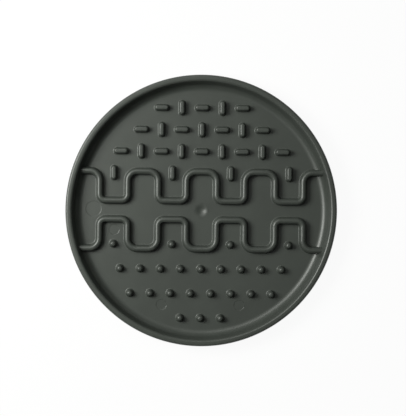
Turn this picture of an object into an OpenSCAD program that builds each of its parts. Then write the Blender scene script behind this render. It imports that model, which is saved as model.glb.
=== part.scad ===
// Lick bowl insert: a shallow round dish whose floor carries ribs, bars and studs for spreadable food.
// The dish stands on z = 0 with its axis on Z. +Y points to the bars, -Y to the studs.

/* [Dish] */
// Diameter over the rim
rim_d = 160; // [150:1:200]
// Depth from the top of the rim to the floor
depth = 8.8; // [7.6:0.1:14]
// Thickness of the floor and the wall
shell_t = 2.5; // [1.6:0.1:3.5]
// Lean of the wall from upright, in degrees
wall_lean = 13; // [5:1:20]
// Radius inside the dish where the wall rises from the floor
floor_round = 4.5; // [2:0.1:5]

/* [Rim] */
// Height of the rim bead
rim_h = 2.6; // [1.8:0.1:3]
// Radius on the inner edge of the rim
rim_round_in = 1.5; // [0.8:0.1:1.7]
// Flat width on top of the rim
rim_land = 1; // [0.5:0.1:2]
// Radius on the outer edge of the rim
rim_round_out = 1.4; // [0.8:0.1:1.7]

/* [Underside] */
// Height of the standing ring
ring_h = 0.8; // [0.4:0.1:2]
// Width of the standing ring where it meets the table
ring_w = 3; // [2:0.1:6]
// Distance from the edge of the flat floor to the outside of the standing ring
ring_inset = 3; // [2:0.1:8]
// Slope of the standing ring's sides, in degrees from upright
ring_draft = 30; // [10:1:45]

/* [Gate pit] */
// Diameter of the pit in the middle of the floor
gate_d = 4.4; // [2:0.1:6]
// Depth of the pit
gate_depth = 0.4; // [0.2:0.1:0.8]

/* [Relief] */
// Height of the ribs, bars and studs above the floor
relief_h = 4.4; // [3.8:0.1:5.5]
// Least distance from a bar or a stud to the edge of the flat floor
edge_clearance = 1.65; // [1:0.05:4]

/* [Wave ribs] */
// Pockets in each wave
pockets = 4; // [2:1:4]
// Width of a pocket, between the middles of its two legs
pocket_w = 16.7; // [14:0.1:18]
// Distance along a far stretch from the outermost leg to the edge of the flat floor
wave_margin = 6.45; // [5:0.05:10]
// Distance from the middle of the dish to the near stretches of a wave
near_level = 5.6; // [4:0.1:7]
// Distance from the middle of the dish to the far stretches of a wave
far_level = 23; // [20:0.1:25]
// Bend radius at the near stretches, on the middle of the rib
near_bend = 3.6; // [3:0.1:5]
// Bend radius at the far stretches, on the middle of the rib
far_bend = 5.8; // [4:0.1:7]
// Radius of a rib's round crown
rib_crown = 1.8; // [1.4:0.1:1.8]
// Draft of a rib's flanks, in degrees
rib_draft = 5; // [3:1:8]

/* [Bars] */
// Bars in the outer row
bars_outer = 5; // [1:2:7]
// Bars in the middle row
bars_middle = 7; // [1:2:9]
// Bars in the inner row
bars_inner = 9; // [1:2:11]
// Distance from the edge of the flat floor to the middle of the outer row of bars
bar_margin = 9.8; // [8:0.1:12]
// Distance from the middle of the dish to the bars in the pockets
pocket_bar_y = 22; // [20:0.1:24]
// Length of a bar at its foot
bar_l = 9; // [7:0.1:10]
// Width of a bar at its top
bar_top_w = 2.9; // [2:0.1:3.2]
// Radius on a bar's top edge
bar_edge = 0.6; // [0.2:0.1:0.8]
// Draft of a bar's flanks, in degrees
bar_draft = 8; // [3:1:12]

/* [Studs] */
// Studs in the inner row
studs_inner = 9; // [1:1:11]
// Studs in the middle row
studs_middle = 8; // [1:1:10]
// Studs in the outer row
studs_outer = 3; // [1:1:5]
// Distance from the edge of the flat floor to the middle of the outer row of studs
stud_margin = 6.7; // [6:0.1:10]
// Distance from the middle of the dish to the studs in the pockets
pocket_stud_y = 20.3; // [18:0.1:24]
// Diameter of a stud's top
stud_top_d = 3.4; // [2:0.1:3.8]
// Radius on a stud's top edge
stud_edge = 0.6; // [0.2:0.1:0.8]
// Draft of a stud's side, in degrees
stud_draft = 12; // [5:1:18]

/* [Hidden] */
$fn = 96;
moulding = "#4b4f4a";

// How far a rounding circle stands proud of the faces that it blends, so that they cross cleanly
lap = 0.001;
// How far a cutting shape reaches past the surface that it cuts
past = 1;
// Grid for the corners and bends of the waves, so that each stretch meets the next one exactly
grid = 1 / 16;
function on_grid(v) = round(v / grid) * grid;

// Heights of the floor's underside, the floor, the rim bead's underside and the rim's top
under_z = ring_h;
floor_z = under_z + shell_t;
top_z = floor_z + depth;
bead_z = top_z - rim_h;

// Radii that follow from the rim inwards, on a section through the axis
rim_r = rim_d / 2;
rim_out_r = rim_r - rim_round_out;
rim_in_r = rim_out_r - rim_land;
across_wall = [cos(wall_lean), -sin(wall_lean)];
rim_tangent = [rim_in_r, top_z - rim_round_in] - rim_round_in * across_wall;
round_z = floor_z + floor_round;
foot_z = round_z - floor_round * sin(wall_lean);
floor_r = rim_tangent[0] - (rim_tangent[1] - foot_z) * tan(wall_lean) - floor_round * cos(wall_lean);
round_middle = [floor_r, round_z];
ring_out_r = floor_r - ring_inset;
ring_in_r = ring_out_r - ring_w;

// Radius of the wall's inner and outer face at a height above the rounded foot
function wall_in_r(z) = rim_tangent[0] + (z - rim_tangent[1]) * tan(wall_lean);
function wall_out_r(z) = wall_in_r(z) + shell_t / cos(wall_lean);

// Half the width at the foot of a rib, bar or stud
function foot_half(top_w, edge, draft) =
    top_w / 2 - edge + (edge - lap) * cos(draft) + (relief_h - edge + (edge - lap) * sin(draft)) * tan(draft);
rib_foot = foot_half(2 * rib_crown, rib_crown, rib_draft);
bar_foot = foot_half(bar_top_w, bar_edge, bar_draft);
stud_foot = foot_half(stud_top_d, stud_edge, stud_draft);

// Half the width of the flat floor at a distance from its middle, less a distance kept from its edge
function floor_half(y, inset) = sqrt(pow(floor_r - inset, 2) - y * y);
// Place of one piece along its row, counted from 0 at the left
function along(place, count, pitch) = (place - (count - 1) / 2) * pitch;

// Waves, spread so that their outer legs keep the margin
outer_leg = floor_half(far_level, 0) - wave_margin;
wave_pitch = (2 * outer_leg - pocket_w) / (pockets - 1);

// Rows of bars from the outer one inwards, and rows of studs from the inner one outwards
rows = ["a", "b", "c"];
last_row = len(rows) - 1;
bars_in_row = [bars_outer, bars_middle, bars_inner];
studs_in_row = [studs_inner, studs_middle, studs_outer];
bar_row_pitch = (floor_r - bar_margin - pocket_bar_y) / len(rows);
stud_row_pitch = (floor_r - stud_margin - pocket_stud_y) / len(rows);
function bar_row_y(row) = pocket_bar_y + (len(rows) - row) * bar_row_pitch;
function stud_row_y(row) = -pocket_stud_y - (row + 1) * stud_row_pitch;

// Widest pitch at which a row's feet, given by their half sizes, keep clear of the floor's edge
function widest_pitch(count, y, half_x, half_y) =
    2 * (floor_half(abs(y) + half_y, edge_clearance) - half_x) / max(count - 1, 1);
// One pitch along the rows for bars and studs alike: the widest that suits every row
column_pitch = min([for (row = [0 : last_row]) each [
    widest_pitch(bars_in_row[row], bar_row_y(row), bar_l / 2, bar_foot),
    widest_pitch(studs_in_row[row], stud_row_y(row), stud_foot, stud_foot)
]]);

function bar_name(row, place) = str("bar_", rows[row], place + 1);
function stud_name(row, place) = str("stud_", rows[row], place + 1);
function pocket_bar_name(place) = str("pocket_bar_", place + 1);
function pocket_stud_name(place) = str("pocket_stud_", place + 1);

// Half of a relief section: flat top, rounded edge, drafted flank
module half_section(top_w, edge, draft) {
    flat = top_w / 2 - edge;
    edge_middle = [flat, relief_h - edge];
    shoulder = edge_middle + (edge - lap) * [cos(draft), sin(draft)];
    top = relief_h - lap;
    polygon([[0, 0], [foot_half(top_w, edge, draft), 0], shoulder, [flat, top], [0, top]]);
    intersection() {
        translate(edge_middle) circle(edge);
        square(relief_h + past);
    }
}

// Whole relief section
module section(top_w, edge, draft) {
    half_section(top_w, edge, draft);
    mirror([1, 0]) half_section(top_w, edge, draft);
}

// Section of a wave rib: round crown, drafted flanks
module rib_section() {
    crown_middle = [0, relief_h - rib_crown];
    shoulder = crown_middle + (rib_crown - lap) * [cos(rib_draft), sin(rib_draft)];
    polygon([[-rib_foot, 0], [rib_foot, 0], shoulder, [-shoulder[0], shoulder[1]]]);
    translate(crown_middle) circle(rib_crown);
}

// Straight stretch of a rib from one point to another
module rib_straight(from, to) {
    run = to - from;
    translate([from[0], from[1], floor_z]) rotate(atan2(run[1], run[0])) rotate([90, 0, 90])
        linear_extrude(norm(run)) rib_section();
}

// Quarter turn of a rib at a corner of its path, from one direction into another
module rib_bend(corner, bend, ahead, after) {
    middle = corner + bend * (after - ahead);
    left = ahead[0] * after[1] - ahead[1] * after[0] > 0;
    start = left ? -after : ahead;
    translate([middle[0], middle[1], floor_z]) rotate(atan2(start[1], start[0]))
        rotate_extrude(angle = 90) translate([bend, 0]) rib_section();
}

// Rib along a path whose corners are all square, each with its own bend radius
module rib_path(points, bends) {
    last = len(points) - 1;
    ways = [for (i = [0 : last - 1]) (points[i + 1] - points[i]) / norm(points[i + 1] - points[i])];
    for (i = [0 : last - 1]) {
        rib_straight(points[i] + bends[i] * ways[i], points[i + 1] - bends[i + 1] * ways[i]);
    }
    for (i = [1 : last - 1]) {
        rib_bend(points[i], bends[i], ways[i - 1], ways[i]);
    }
}

// The four corners of one pocket, from left to right
function pocket_corners(x) =
    let (
        left = on_grid(x - pocket_w / 2),
        right = on_grid(x + pocket_w / 2),
        near = on_grid(near_level),
        far = on_grid(far_level)
    )
    [[left, far], [left, near], [right, near], [right, far]];

module wave_rib() {
    corners = [for (place = [0 : pockets - 1]) each pocket_corners(along(place, pockets, wave_pitch))];
    near = on_grid(near_bend);
    far = on_grid(far_bend);
    corner_bends = [for (place = [0 : pockets - 1]) each [far, near, near, far]];
    end = [on_grid(rim_r), on_grid(far_level)];
    intersection() {
        rib_path(concat([[-end[0], end[1]]], corners, [end]), concat([0], corner_bends, [0]));
        dish_inside();
    }
}

// Room inside the dish, from below the floor to above the rim
module dish_inside() {
    rotate_extrude() {
        translate([0, floor_z - past]) square([floor_r, depth + 2 * past]);
        inner_face(past);
    }
}

// Section of the room between the flat floor and the wall, up to a height above the rim
module inner_face(above) {
    up = top_z + above;
    shoulder = round_middle + (floor_round - lap) * across_wall;
    intersection() {
        translate(round_middle) circle(floor_round);
        translate([floor_r, floor_z - past]) square([rim_r, depth]);
    }
    polygon([[floor_r, round_z], shoulder, [wall_in_r(up) - lap / cos(wall_lean), up], [floor_r, up]]);
}

module side_wall() {
    heel = floor_round + shell_t;
    shoulder = round_middle + (heel - lap) * across_wall;
    outer_top = wall_out_r(bead_z) - lap / cos(wall_lean);
    color(moulding) rotate_extrude() difference() {
        intersection() {
            union() {
                translate(round_middle) circle(heel);
                polygon([round_middle, shoulder, [outer_top, bead_z], [floor_r, bead_z]]);
            }
            translate([floor_r, under_z]) square([rim_r, bead_z - under_z]);
        }
        inner_face(past);
    }
}

module rim_bead() {
    in_middle = [rim_in_r, top_z - rim_round_in];
    out_middle = [rim_out_r, top_z - rim_round_out];
    color(moulding) rotate_extrude() {
        polygon([
            [wall_in_r(bead_z) - lap / cos(wall_lean), bead_z],
            [rim_r - lap, bead_z],
            [rim_r - lap, out_middle[1]],
            [rim_out_r, top_z - lap],
            [rim_in_r, top_z - lap],
            in_middle - (rim_round_in - lap) * across_wall
        ]);
        intersection() {
            union() {
                translate(in_middle) circle(rim_round_in);
                translate(out_middle) circle(rim_round_out);
            }
            translate([0, bead_z + lap]) square([rim_d, rim_h]);
        }
    }
}

module floor_plate() {
    side = ring_h * tan(ring_draft);
    pit_round = (gate_d * gate_d / 4 + gate_depth * gate_depth) / (2 * gate_depth);
    color(moulding) rotate_extrude() difference() {
        polygon([
            [0, under_z], [ring_in_r - side, under_z], [ring_in_r, 0], [ring_out_r, 0],
            [ring_out_r + side, under_z], [floor_r, under_z], [floor_r, floor_z], [0, floor_z]
        ]);
        intersection() {
            translate([0, floor_z - gate_depth + pit_round]) circle(pit_round);
            translate([0, under_z]) square([gate_d, depth]);
        }
    }
}

module upper_wave_rib() {
    color(moulding) wave_rib();
}

module lower_wave_rib() {
    color(moulding) mirror([0, 1, 0]) wave_rib();
}

// Bar that lies along X, or stands along Y
module bar(x, y, stands) {
    straight = bar_l - 2 * bar_foot;
    color(moulding) translate([x, y, floor_z]) rotate(stands ? 90 : 0) {
        translate([-straight / 2, 0, 0]) rotate([90, 0, 90])
            linear_extrude(straight) section(bar_top_w, bar_edge, bar_draft);
        for (turn = [0, 180]) {
            rotate(turn) translate([straight / 2, 0, 0]) rotate(-90)
                rotate_extrude(angle = 180) half_section(bar_top_w, bar_edge, bar_draft);
        }
    }
}

module stud(x, y) {
    color(moulding) translate([x, y, floor_z])
        rotate_extrude() half_section(stud_top_d, stud_edge, stud_draft);
}

module row_bar(row, place) {
    bar(along(place, bars_in_row[row], column_pitch), bar_row_y(row), place % 2 == 1);
}

module row_stud(row, place) {
    stud(along(place, studs_in_row[row], column_pitch), stud_row_y(row));
}

module pocket_bar(place) {
    bar(along(place, pockets, wave_pitch), pocket_bar_y, true);
}

module pocket_stud(place) {
    stud(along(place, pockets, wave_pitch), -pocket_stud_y);
}

floor_plate();
side_wall();
rim_bead();
upper_wave_rib();
lower_wave_rib();
for (row = [0 : last_row], place = [0 : bars_in_row[row] - 1]) {
    row_bar(row, place);
}
for (row = [0 : last_row], place = [0 : studs_in_row[row] - 1]) {
    row_stud(row, place);
}
for (place = [0 : pockets - 1]) {
    pocket_bar(place);
    pocket_stud(place);
}
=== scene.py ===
# Lick bowl insert: a satin plastic dish with ribs, bars and studs, seen from straight above.
import math

import bmesh
import bpy
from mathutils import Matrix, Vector
from mathutils.geometry import delaunay_2d_cdt


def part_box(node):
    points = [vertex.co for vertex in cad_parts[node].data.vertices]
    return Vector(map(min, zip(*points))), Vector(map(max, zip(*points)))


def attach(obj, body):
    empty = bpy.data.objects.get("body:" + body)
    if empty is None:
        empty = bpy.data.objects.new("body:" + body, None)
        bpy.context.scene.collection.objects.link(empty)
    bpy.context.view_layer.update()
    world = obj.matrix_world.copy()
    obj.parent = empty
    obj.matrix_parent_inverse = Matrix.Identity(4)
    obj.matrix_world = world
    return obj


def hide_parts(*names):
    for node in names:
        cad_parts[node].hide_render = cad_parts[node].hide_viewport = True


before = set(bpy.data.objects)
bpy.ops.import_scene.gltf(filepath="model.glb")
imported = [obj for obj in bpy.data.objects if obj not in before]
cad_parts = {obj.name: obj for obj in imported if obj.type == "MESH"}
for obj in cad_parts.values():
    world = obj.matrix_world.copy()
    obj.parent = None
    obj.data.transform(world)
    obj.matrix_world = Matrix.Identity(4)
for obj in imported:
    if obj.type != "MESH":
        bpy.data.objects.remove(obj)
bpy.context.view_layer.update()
scene = bpy.context.scene
scene.view_settings.view_transform = "Standard"

# The dish is in millimetres, the studio in metres, and angles at the top of the script in degrees
MM = 0.001


def node_box(node):
    """Lowest and highest corner of a solid, in millimetres."""
    low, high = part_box(node)
    return Vector(low) / MM, Vector(high) / MM


# Dish, from the solids
_, plate_high = node_box("floor_plate")
bead_low, bead_high = node_box("rim_bead")
wall_low, _ = node_box("side_wall")
RIM_R = bead_high.x
TOP_Z = bead_high.z
BEAD_Z = bead_low.z
FLOOR_R = plate_high.x
FLOOR_Z = plate_high.z
UNDER_Z = wall_low.z
SHELL_T = FLOOR_Z - UNDER_Z

# Wall, with a round at its foot and one under the rim's lip
WALL_LEAN = 13
FLOOR_ROUND = 4.5
LIP_ROUND = 0.8

# Rim, from its inner round over its flat top to the lower edge of its lip
RIM_ROUND_IN = 1.5
RIM_LAND = 1.0
RIM_ROUND_OUT = 1.4
RIM_EDGE = 0.4

# Standing ring under the floor, whose sides spread by RING_SIDE up to the floor
RING_INSET = 3
RING_W = 3
RING_SIDE = 0.46
RING_EDGE = 0.25
RING_OUT_R = FLOOR_R - RING_INSET
RING_IN_R = RING_OUT_R - RING_W

# Ribs, bars and studs: height above the floor, depth of their feet in the floor, and the round at their feet
RELIEF_H = 4.4
SUNK = 0.3
FOOT_ROUND = 0.6

# Waves: levels are distances from the dish's middle line, and END_SUNK is the depth of the ends in the wall
POCKETS = 4
POCKET_W = 16.7
NEAR_LEVEL = 5.6
FAR_LEVEL = 23
NEAR_BEND = 3.6
FAR_BEND = 5.8
RIB_CROWN = 1.8
RIB_DRAFT = 5
END_SUNK = 0.05

# Bars and studs: width over the rounded top edges, radius of those edges, and lean of the flanks
BAR_L = 9
BAR_TOP_W = 2.9
BAR_EDGE = 0.9
BAR_DRAFT = 8
STUD_TOP_D = 3.4
STUD_EDGE = 1.4
STUD_DRAFT = 12

# Soft sink at the gate in the floor's middle
SINK_R = 4.2
SINK_DEPTH = 0.75

# Marks of the ejector pins: place and diameter
PIN_MARKS = [
    ((-64.2, 0.4), 9.3),
    ((-51.8, -11.9), 6.3),
    ((-23.2, -56.4), 6.2),
    ((23.2, -56.4), 6.2),
]
PIN_DEPTH = 0.1
PIN_EDGE = 0.12

# Narrow flat band beside the edge of a hollow, which keeps smooth shading off the rest of the floor
BAND_W = 0.1

# Fineness of the meshes, and the angle up to which they are shaded smooth
ROUND_STEPS = 256
HOLLOW_STEPS = 64
SINK_STEPS = 16
FILLET_STEPS = 32
LIP_STEPS = 10
RIM_IN_STEPS = 16
RIM_OUT_STEPS = 20
RIM_EDGE_STEPS = 8
RING_EDGE_STEPS = 5
FOOT_STEPS = 8
TOP_STEPS = 12
ISLAND_STEPS = 48
BEND_STEPS = 16
SMOOTH_ANGLE = 40
SAME_POINT = 1e-6


def arc(middle, radius, start, end, steps):
    """Points of an arc in a plane, between two angles in degrees."""
    turns = [math.radians(start + (end - start) * i / steps) for i in range(steps + 1)]
    return [(middle[0] + radius * math.cos(t), middle[1] + radius * math.sin(t)) for t in turns]


def circle(middle, radius, steps):
    return arc(middle, radius, 0, 360, steps)[:-1]


def moulding_material():
    """Satin plastic, a little uneven in tint and gloss, with a fine grain."""
    plastic_ior = 1.5
    dark_tint = (0.0455, 0.051, 0.0455, 1)
    pale_tint = (0.0515, 0.058, 0.0515, 1)
    least_rough = 0.35
    most_rough = 0.41
    grain_strength = 0.12
    grain_depth = 0.00002

    material = bpy.data.materials.new("moulding")
    material.use_nodes = True
    nodes = material.node_tree.nodes
    link = material.node_tree.links.new
    shader = nodes["Principled BSDF"]
    shader.inputs["IOR"].default_value = plastic_ior
    place = nodes.new("ShaderNodeTexCoord").outputs["Object"]

    def noise(scale, detail):
        node = nodes.new("ShaderNodeTexNoise")
        node.inputs["Scale"].default_value = scale
        node.inputs["Detail"].default_value = detail
        link(place, node.inputs["Vector"])
        return node.outputs["Fac"]

    tint = nodes.new("ShaderNodeValToRGB")
    dark_end, pale_end = tint.color_ramp.elements
    dark_end.color = dark_tint
    dark_end.position = 0.3
    pale_end.color = pale_tint
    pale_end.position = 0.7
    link(noise(scale=60, detail=3), tint.inputs["Fac"])
    link(tint.outputs["Color"], shader.inputs["Base Color"])

    gloss = nodes.new("ShaderNodeMapRange")
    gloss.inputs["To Min"].default_value = least_rough
    gloss.inputs["To Max"].default_value = most_rough
    link(noise(scale=140, detail=4), gloss.inputs["Value"])
    link(gloss.outputs["Result"], shader.inputs["Roughness"])

    grain = nodes.new("ShaderNodeBump")
    grain.inputs["Strength"].default_value = grain_strength
    grain.inputs["Distance"].default_value = grain_depth
    link(noise(scale=5000, detail=2), grain.inputs["Height"])
    link(grain.outputs["Normal"], shader.inputs["Normal"])
    return material


moulding = moulding_material()


def new_piece(node, points, faces):
    """Make a closed mesh that stands for one solid."""
    name = "moulded_" + node
    mesh = bpy.data.meshes.new(name)
    mesh.from_pydata([Vector(p) * MM for p in points], [], faces)
    skin = bmesh.new()
    skin.from_mesh(mesh)
    bmesh.ops.recalc_face_normals(skin, faces=skin.faces)
    skin.to_mesh(mesh)
    skin.free()
    mesh.shade_smooth()
    mesh.set_sharp_from_angle(angle=math.radians(SMOOTH_ANGLE))
    mesh.materials.append(moulding)
    piece = bpy.data.objects.new(name, mesh)
    scene.collection.objects.link(piece)
    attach(piece, "root")
    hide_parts(node)


def bridge(first, second):
    """Faces between two closed loops of the same number of points."""
    count = len(first)
    return [
        (first[i], first[(i + 1) % count], second[(i + 1) % count], second[i])
        for i in range(count)
    ]


def skin_loops(node, points, count):
    """A closed piece from loops of count points each, with a flat face over the first and the last loop."""
    loops = [range(i, i + count) for i in range(0, len(points), count)]
    faces = [face for first, second in zip(loops, loops[1:]) for face in bridge(first, second)]
    faces += [tuple(loops[0]), tuple(loops[-1])]
    new_piece(node, points, faces)


def revolve(node, section):
    """A closed section turned round the dish's axis."""
    points = [(x, y, z) for radius, z in section for x, y in circle((0, 0), radius, ROUND_STEPS)]
    loops = [range(i * ROUND_STEPS, (i + 1) * ROUND_STEPS) for i in range(len(section))]
    faces = [face for i in range(len(loops)) for face in bridge(loops[i - 1], loops[i])]
    new_piece(node, points, faces)


# Section of the wall
lean = math.radians(WALL_LEAN)
round_middle = (FLOOR_R, FLOOR_Z + FLOOR_ROUND)
wall_foot_r = FLOOR_R + FLOOR_ROUND * math.cos(lean)
wall_foot_z = FLOOR_Z + FLOOR_ROUND * (1 - math.sin(lean))


def wall_in_r(z):
    """Radius of the dish's inner face at a height."""
    if z <= FLOOR_Z:
        return FLOOR_R
    if z < wall_foot_z:
        return FLOOR_R + math.sqrt(FLOOR_ROUND ** 2 - (round_middle[1] - z) ** 2)
    return wall_foot_r + (z - wall_foot_z) * math.tan(lean)


def wall_out_r(z):
    """Radius of the dish's outer face at a height above the heel."""
    return wall_in_r(z) + SHELL_T / math.cos(lean)


def side_wall():
    """The leaning wall, with its rounded foot inside and its heel outside."""
    lip_z = BEAD_Z - LIP_ROUND
    lip_middle = (wall_out_r(lip_z) + LIP_ROUND, lip_z)
    section = arc(round_middle, FLOOR_ROUND, 270, 360 - WALL_LEAN, FILLET_STEPS)
    section += [(wall_in_r(BEAD_Z), BEAD_Z)]
    section += arc(lip_middle, LIP_ROUND, 90, 180, LIP_STEPS)
    section += arc(round_middle, FLOOR_ROUND + SHELL_T, 360 - WALL_LEAN, 270, FILLET_STEPS)
    revolve("side_wall", section)


def rim_bead():
    """The rounded rim with its outward lip."""
    in_middle = (RIM_R - RIM_ROUND_OUT - RIM_LAND, TOP_Z - RIM_ROUND_IN)
    out_middle = (RIM_R - RIM_ROUND_OUT, TOP_Z - RIM_ROUND_OUT)
    edge_middle = (RIM_R - RIM_EDGE, BEAD_Z + RIM_EDGE)
    section = [(wall_in_r(BEAD_Z), BEAD_Z)]
    section += arc(in_middle, RIM_ROUND_IN, 180 - WALL_LEAN, 90, RIM_IN_STEPS)
    section += arc(out_middle, RIM_ROUND_OUT, 90, 0, RIM_OUT_STEPS)
    section += arc(edge_middle, RIM_EDGE, 0, -90, RIM_EDGE_STEPS)
    revolve("rim_bead", section)


def floor_plate():
    """The flat floor with its sink and pin marks, and the standing ring below."""
    points = []

    def loop(flat_points, z):
        first = len(points)
        points.extend((x, y, z) for x, y in flat_points)
        return range(first, len(points))

    # Flat part of the top, with a round hole for the sink and for each pin mark
    edge = loop(circle((0, 0), FLOOR_R, ROUND_STEPS), FLOOR_Z)
    holes = [(Vector((0, 0)), SINK_R)]
    holes += [(Vector(middle), across / 2) for middle, across in PIN_MARKS]
    bands = [loop(circle(middle, radius + BAND_W, HOLLOW_STEPS), FLOOR_Z) for middle, radius in holes]
    sides = [(ring[i - 1], ring[i]) for ring in [edge] + bands for i in range(len(ring))]
    flat = [Vector(p[:2]) for p in points]
    _, _, triangles, sources, _, _ = delaunay_2d_cdt(flat, sides, [], 0, SAME_POINT)
    faces = []
    for triangle in triangles:
        corners = [sources[i][0] for i in triangle]
        middle = sum((flat[i] for i in corners), Vector((0, 0))) / len(corners)
        if all((middle - hole).length > radius for hole, radius in holes):
            faces.append(tuple(corners))
    rims = [loop(circle(middle, radius, HOLLOW_STEPS), FLOOR_Z) for middle, radius in holes]
    for band, rim in zip(bands, rims):
        faces += bridge(band, rim)

    # Sink
    last = rims[0]
    for i in range(1, SINK_STEPS):
        share = i / SINK_STEPS
        depth = SINK_DEPTH * (1 - math.cos(math.pi * share)) / 2
        ring = loop(circle((0, 0), SINK_R * (1 - share), HOLLOW_STEPS), FLOOR_Z - depth)
        faces += bridge(last, ring)
        last = ring
    faces.append(tuple(last))

    # Pin marks
    for (middle, radius), rim in zip(holes[1:], rims[1:]):
        low_r = radius - PIN_EDGE
        ring = loop(circle(middle, low_r, HOLLOW_STEPS), FLOOR_Z - PIN_DEPTH)
        inner = loop(circle(middle, low_r - BAND_W, HOLLOW_STEPS), FLOOR_Z - PIN_DEPTH)
        faces += bridge(rim, ring) + bridge(ring, inner)
        faces.append(tuple(inner))

    # Underside
    underside = [(FLOOR_R, UNDER_Z), (RING_OUT_R + RING_SIDE, UNDER_Z)]
    underside += arc((RING_OUT_R - RING_EDGE, RING_EDGE), RING_EDGE, 0, -90, RING_EDGE_STEPS)
    underside += arc((RING_IN_R + RING_EDGE, RING_EDGE), RING_EDGE, 270, 180, RING_EDGE_STEPS)
    underside += [(RING_IN_R - RING_SIDE, UNDER_Z)]
    last = edge
    for radius, z in underside:
        ring = loop(circle((0, 0), radius, ROUND_STEPS), z)
        faces += bridge(last, ring)
        last = ring
    faces.append(tuple(last))
    new_piece("floor_plate", points, faces)


def raised_section(top_w, edge, draft):
    """Half section of a rib, bar or stud from its foot to its top: distances from its core, and heights."""
    slope = math.radians(draft)
    flat = top_w / 2 - edge
    shoulder_h = RELIEF_H - edge + edge * math.sin(slope)
    foot = flat + edge * math.cos(slope) + shoulder_h * math.tan(slope)
    foot_middle = (foot - FOOT_ROUND * math.tan(slope) + FOOT_ROUND / math.cos(slope), FOOT_ROUND)
    section = [(foot_middle[0], -SUNK)]
    section += arc(foot_middle, FOOT_ROUND, 270, 180 + draft, FOOT_STEPS)
    section += arc((flat, RELIEF_H - edge), edge, draft, 90, TOP_STEPS)
    return section


def raised_island(node, half_core, section, stands):
    """A bar or a stud: its section at the same distance all round a straight core."""
    low, high = node_box(node)
    x, y = (low.x + high.x) / 2, (low.y + high.y) / 2
    points = []
    for offset, height in section:
        for i in range(ISLAND_STEPS):
            turn = 2 * math.pi * (i + 0.5) / ISLAND_STEPS
            along = math.copysign(half_core, math.cos(turn)) + offset * math.cos(turn)
            across = offset * math.sin(turn)
            spot = (x - across, y + along) if stands else (x + along, y + across)
            points.append((*spot, FLOOR_Z + height))
    skin_loops(node, points, ISLAND_STEPS)


bar_section = raised_section(BAR_TOP_W, BAR_EDGE, BAR_DRAFT)
stud_section = raised_section(STUD_TOP_D, STUD_EDGE, STUD_DRAFT)


def bar(node):
    """A bar that lies or stands as its solid does."""
    low, high = node_box(node)
    size = high - low
    half_core = (BAR_L - min(size.x, size.y)) / 2
    raised_island(node, half_core, bar_section, stands=size.y > size.x)


def stud(node):
    raised_island(node, 0, stud_section, stands=False)


def ahead(heading):
    return Vector((math.cos(heading), math.sin(heading)))


def beside(heading):
    """Direction to the left of a heading."""
    return Vector((-math.sin(heading), math.cos(heading)))


def wave_stations(side):
    """Points and headings in radians along a wave, from the left to the right."""
    stations = []
    inward = -side * math.pi / 2

    def bend(corner, radius, heading, turn):
        start = Vector(corner) - radius * ahead(heading)
        middle = start + math.copysign(radius, turn) * beside(heading)
        for i in range(BEND_STEPS + 1):
            now = heading + turn * i / BEND_STEPS
            stations.append((middle - math.copysign(radius, turn) * beside(now), now))

    for place in range(1, POCKETS + 1):
        low, high = node_box(f"pocket_bar_{place}")
        x = (low.x + high.x) / 2
        left, right = x - POCKET_W / 2, x + POCKET_W / 2
        bend((left, side * FAR_LEVEL), FAR_BEND, 0, inward)
        bend((left, side * NEAR_LEVEL), NEAR_BEND, inward, -inward)
        bend((right, side * NEAR_LEVEL), NEAR_BEND, 0, -inward)
        bend((right, side * FAR_LEVEL), FAR_BEND, -inward, inward)
    return stations


def wave_rib(node, side):
    """A rib along the wave on the far side (1) or the near side (-1), with ends that follow the wall."""
    half = raised_section(2 * RIB_CROWN, RIB_CROWN, RIB_DRAFT)
    section = half + [(-offset, height) for offset, height in reversed(half[:-1])]

    def end_points(way):
        ends = []
        for offset, height in section:
            y = side * FAR_LEVEL + offset
            radius = wall_in_r(FLOOR_Z + height) + END_SUNK
            ends.append((way * math.sqrt(radius ** 2 - y ** 2), y, FLOOR_Z + height))
        return ends

    points = end_points(-1)
    for spot, heading in wave_stations(side):
        for offset, height in section:
            points.append((*(spot + offset * beside(heading)), FLOOR_Z + height))
    points += end_points(1)
    skin_loops(node, points, len(section))


floor_plate()
side_wall()
rim_bead()
wave_rib("upper_wave_rib", 1)
wave_rib("lower_wave_rib", -1)
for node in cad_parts:
    if node.startswith(("bar_", "pocket_bar_")):
        bar(node)
    if node.startswith(("stud_", "pocket_stud_")):
        stud(node)


def paper_material():
    """Matt white that the camera, gloss and glass see as white, apart from a faint shadow."""
    white_share = 0.94
    matt_white = (0.85, 0.85, 0.85, 1)

    material = bpy.data.materials.new("paper")
    material.use_nodes = True
    nodes = material.node_tree.nodes
    link = material.node_tree.links.new
    nodes.clear()
    path = nodes.new("ShaderNodeLightPath")
    seen = path.outputs["Is Camera Ray"]
    for kind in ("Is Glossy Ray", "Is Transmission Ray"):
        either = nodes.new("ShaderNodeMath")
        either.operation = "MAXIMUM"
        link(seen, either.inputs[0])
        link(path.outputs[kind], either.inputs[1])
        seen = either.outputs["Value"]
    share = nodes.new("ShaderNodeMath")
    share.operation = "MULTIPLY"
    share.inputs[1].default_value = white_share
    link(seen, share.inputs[0])
    matt = nodes.new("ShaderNodeBsdfDiffuse")
    matt.inputs["Color"].default_value = matt_white
    white = nodes.new("ShaderNodeEmission")
    white.inputs["Strength"].default_value = 1
    mix = nodes.new("ShaderNodeMixShader")
    link(share.outputs["Value"], mix.inputs["Fac"])
    link(matt.outputs["BSDF"], mix.inputs[1])
    link(white.outputs["Emission"], mix.inputs[2])
    output = nodes.new("ShaderNodeOutputMaterial")
    link(mix.outputs["Shader"], output.inputs["Surface"])
    return material


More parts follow.
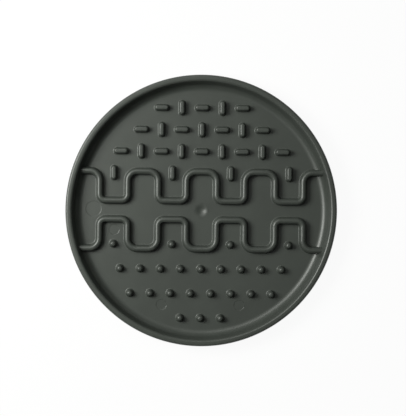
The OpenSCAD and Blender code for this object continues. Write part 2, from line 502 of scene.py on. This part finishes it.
def stage():
    """A wide round floor with a low wall round it."""
    radius = 6.0
    height = 1.1
    steps = 96
    flat = circle((0, 0), radius, steps)
    points = [(x, y, 0) for x, y in flat] + [(x, y, height) for x, y in flat]
    low, high = range(steps), range(steps, 2 * steps)
    mesh = bpy.data.meshes.new("studio_floor")
    mesh.from_pydata(points, [], bridge(low, high) + [tuple(low)])
    mesh.materials.append(paper_material())
    floor = bpy.data.objects.new("studio_floor", mesh)
    scene.collection.objects.link(floor)


stage()


def soft_light(name, place, size, power):
    """A square soft light that faces the dish."""
    lamp_colour = (0.98, 1.0, 0.95)
    panel = bpy.data.lights.new(name, "AREA")
    panel.shape = "SQUARE"
    panel.size = size
    panel.energy = power
    panel.color = lamp_colour
    lamp = bpy.data.objects.new(name, panel)
    lamp.location = place
    lamp.rotation_euler = lamp.location.to_track_quat("Z", "Y").to_euler()
    scene.collection.objects.link(lamp)


def room_light():
    """Faint even light from all round."""
    room_colour = (0.95, 1.0, 1.0, 1)
    room_strength = 0.035
    world = bpy.data.worlds.new("room")
    world.use_nodes = True
    sky = world.node_tree.nodes["Background"]
    sky.inputs["Color"].default_value = room_colour
    sky.inputs["Strength"].default_value = room_strength
    scene.world = world


soft_light("key", place=(-0.35, 0.09, 0.375), size=0.24, power=3.25)
soft_light("top", place=(0.03, -0.02, 0.36), size=0.25, power=0.05)
soft_light("far", place=(-0.2, 0.42, 0.6), size=0.4, power=1.2)
room_light()


def photo_camera():
    """Straight above, a little off the middle and turned as the photograph is."""
    distance = 0.6
    view_height = 0.2445
    right_of_middle = 0.00104
    past_middle = 0.00147
    turn_in_radians = 0.0112
    sensor_height_mm = 24
    lens = bpy.data.cameras.new("camera")
    lens.sensor_fit = "VERTICAL"
    lens.sensor_height = sensor_height_mm
    lens.lens = sensor_height_mm * distance / view_height
    eye = bpy.data.objects.new("camera", lens)
    eye.location = (right_of_middle, past_middle, TOP_Z * MM + distance)
    eye.rotation_euler = (0, 0, turn_in_radians)
    scene.collection.objects.link(eye)
    scene.camera = eye


photo_camera()
